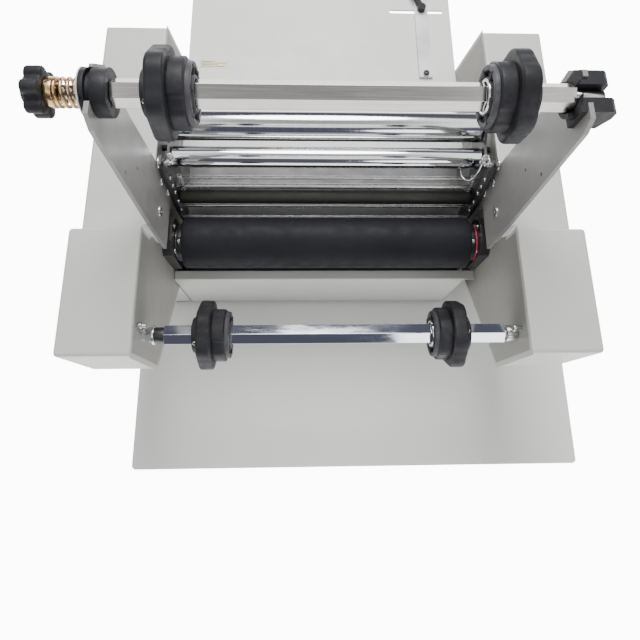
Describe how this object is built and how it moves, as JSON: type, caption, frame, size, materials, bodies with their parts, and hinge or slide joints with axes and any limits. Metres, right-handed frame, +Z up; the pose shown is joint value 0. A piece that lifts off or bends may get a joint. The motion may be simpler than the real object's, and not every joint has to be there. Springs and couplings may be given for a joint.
{
  "type": "cold roll laminator",
  "caption": "Bench-top cold roll laminator with raised film supply shaft, driven take-up shaft, rubber nip rollers, idlers and a long feed table on a white base board.",
  "frame": {"origin": "on the bench plane (flat underside of the base board), midway between the side frames, straight below the nip line", "axes": "+X to the right seen from the output side, +Y towards the operator (infeed), +Z up"},
  "size_m": [0.64, 0.714, 0.5063],
  "materials": {
    "cover_paint": "satin, fine orange peel",
    "frame_paint": "satin",
    "arm_paint": "satin",
    "board_white": "white laminate, satin",
    "white_plastic": "matt",
    "dark_plastic": "matt, fine texture",
    "black_metal": "matt black",
    "steel": "brushed",
    "bar_steel": "drawn, lightly oiled",
    "bar_bright": "polished",
    "chrome_mat": "polished",
    "alu": "turned, satin",
    "zinc_yellow": "yellow zinc plated",
    "nip_rubber": "ground, matt",
    "foot_rubber": "moulded, matt",
    "belt_rubber": "matt",
    "ring_red": "satin",
    "button_red": "gloss",
    "button_green": "gloss",
    "table_white": "satin white",
    "label_mat": "matt film",
    "motor_paint": "semi-gloss",
    "gear_steel": "hobbed, oiled"
  },
  "bodies": {
    "machine": {"base_board": "board_white", "machine_feet": "foot_rubber", "bottom_plate": "frame_paint", "left_side_frame": "frame_paint", "right_side_frame": "frame_paint", "tie_rods": "steel", "left_front_cover": "cover_paint", "right_front_cover": "cover_paint", "left_rear_cover": "cover_paint", "right_rear_cover": "cover_paint", "left_lower_cover": "cover_paint", "output_panel": "cover_paint", "left_arm": "arm_paint", "right_arm": "arm_paint", "arm_spacers": "white_plastic", "arm_screws": "steel", "fork_block": "dark_plastic", "tension_hub": "dark_plastic", "takeup_seat": "steel", "drive_belt": "belt_rubber", "lower_blocks": "black_metal", "drive_motor": "motor_paint", "idler_brackets": "black_metal", "guide_bars": "steel", "return_springs": "steel", "feed_table": "table_white", "table_label": "label_mat", "control_plate": "dark_plastic", "power_inlet": "dark_plastic"},
    "supply_shaft": {"supply_bar": "bar_steel", "spring_washers": "steel", "tension_spring": "zinc_yellow"},
    "tension_nut_body": {"tension_nut": "zinc_yellow"},
    "tension_knob_body": {"tension_knob": "dark_plastic"},
    "supply_left_chuck_body": {"supply_left_chuck": "dark_plastic"},
    "supply_right_chuck_body": {"supply_right_chuck": "dark_plastic"},
    "takeup_shaft": {"takeup_bar": "bar_bright", "takeup_coupling": "black_metal", "takeup_cup": "chrome_mat", "takeup_pulley": "alu"},
    "takeup_left_chuck_body": {"takeup_left_chuck": "dark_plastic"},
    "takeup_right_chuck_body": {"takeup_right_chuck": "dark_plastic"},
    "upper_bearings": {"upper_blocks": "black_metal"},
    "upper_roller": {"upper_core": "steel", "upper_rubber": "nip_rubber", "upper_gear": "gear_steel", "seal_ring": "ring_red"},
    "lower_roller": {"lower_core": "steel", "lower_rubber": "nip_rubber", "lower_gear": "gear_steel"},
    "pinion_shaft": {"motor_pinion": "gear_steel"},
    "idler": {"idler_roller": "alu"},
    "chrome_idler": {"chrome_roller": "chrome_mat"},
    "tension_idler": {"tension_roller": "black_metal"},
    "side_guide_body": {"side_guide": "white_plastic"},
    "guide_lever_body": {"guide_lever": "dark_plastic"},
    "stop_button_body": {"stop_button": "button_red"},
    "start_button_body": {"start_button": "button_green"},
    "speed_knob_body": {"speed_knob": "dark_plastic"},
    "pressure_lever_body": {"pressure_lever": "dark_plastic"}
  },
  "joints": [
    {"name": "supply_spin", "type": "hinge", "parent": "machine", "child": "supply_shaft", "pos_m": [0, 0.02, 0.47], "axis": [1, 0, 0], "continuous": true},
    {"name": "tension_feed", "type": "slide", "parent": "supply_shaft", "child": "tension_nut_body", "axis": [1, 0, 0], "range_m": [0, 0.004], "deforming": ["tension_spring"]},
    {"name": "tension_knob_turn", "type": "hinge", "parent": "tension_nut_body", "child": "tension_knob_body", "pos_m": [-0.235, 0.02, 0.47], "axis": [1, 0, 0], "range_deg": [0, 960]},
    {"name": "supply_left_slide", "type": "slide", "parent": "supply_shaft", "child": "supply_left_chuck_body", "axis": [1, 0, 0], "range_m": [-0.024, 0.1]},
    {"name": "supply_right_slide", "type": "slide", "parent": "supply_shaft", "child": "supply_right_chuck_body", "axis": [-1, 0, 0], "range_m": [-0.024, 0.1]},
    {"name": "lower_roller_spin", "type": "hinge", "parent": "machine", "child": "lower_roller", "pos_m": [0, 0, 0.1195], "axis": [1, 0, 0], "continuous": true},
    {"name": "nip_lift", "type": "slide", "parent": "machine", "child": "upper_bearings", "axis": [0, 0, 1], "range_m": [0, 0.006]},
    {"name": "upper_roller_spin", "type": "hinge", "parent": "upper_bearings", "child": "upper_roller", "pos_m": [0, 0, 0.1845], "axis": [1, 0, 0], "continuous": true},
    {"name": "pinion_spin", "type": "hinge", "parent": "machine", "child": "pinion_shaft", "pos_m": [-0.214, 0.04933, 0.10154], "axis": [1, 0, 0], "continuous": true},
    {"name": "takeup_spin", "type": "hinge", "parent": "machine", "child": "takeup_shaft", "pos_m": [0, -0.132, 0.262], "axis": [1, 0, 0], "continuous": true},
    {"name": "takeup_left_slide", "type": "slide", "parent": "takeup_shaft", "child": "takeup_left_chuck_body", "axis": [1, 0, 0], "range_m": [-0.028, 0.1]},
    {"name": "takeup_right_slide", "type": "slide", "parent": "takeup_shaft", "child": "takeup_right_chuck_body", "axis": [-1, 0, 0], "range_m": [-0.028, 0.1]},
    {"name": "idler_spin", "type": "hinge", "parent": "machine", "child": "idler", "pos_m": [0, 0.12, 0.264], "axis": [1, 0, 0], "continuous": true},
    {"name": "chrome_spin", "type": "hinge", "parent": "machine", "child": "chrome_idler", "pos_m": [0, 0.083, 0.254], "axis": [1, 0, 0], "continuous": true},
    {"name": "tension_roller_spin", "type": "hinge", "parent": "machine", "child": "tension_idler", "pos_m": [0, 0.056, 0.203], "axis": [1, 0, 0], "continuous": true},
    {"name": "side_guide_slide", "type": "slide", "parent": "machine", "child": "side_guide_body", "axis": [1, 0, 0], "range_m": [-0.045, 0.03]},
    {"name": "guide_lever_turn", "type": "hinge", "parent": "side_guide_body", "child": "guide_lever_body", "pos_m": [0.154, 0.396, 0.15], "axis": [0, 0, 1], "range_deg": [-60, 60]},
    {"name": "stop_press", "type": "slide", "parent": "machine", "child": "stop_button_body", "axis": [0, -0.9703, -0.2419], "range_m": [0, 0.003], "stiffness_N_per_m": 300, "springref_m": -0.002},
    {"name": "start_press", "type": "slide", "parent": "machine", "child": "start_button_body", "axis": [0, -0.9703, -0.2419], "range_m": [0, 0.003], "stiffness_N_per_m": 300, "springref_m": -0.002},
    {"name": "speed_turn", "type": "hinge", "parent": "machine", "child": "speed_knob_body", "pos_m": [0.238, 0.27645, 0.193], "axis": [0, 0.9703, 0.2419], "range_deg": [-135, 135]},
    {"name": "pressure_turn", "type": "hinge", "parent": "machine", "child": "pressure_lever_body", "pos_m": [0.238, 0.29041, 0.137], "axis": [0, 0.9703, 0.2419], "range_deg": [-90, 0]}
  ],
  "couplings": [
    {"joint": "tension_knob_turn", "follows": "tension_feed", "rad_per_m": 4188.8},
    {"joint": "upper_roller_spin", "follows": "lower_roller_spin", "ratio": -1},
    {"joint": "pinion_spin", "follows": "lower_roller_spin", "ratio": -1.625},
    {"joint": "takeup_spin", "follows": "lower_roller_spin", "ratio": 0.83333},
    {"joint": "pressure_turn", "follows": "nip_lift", "rad_per_m": -261.8}
  ]
}
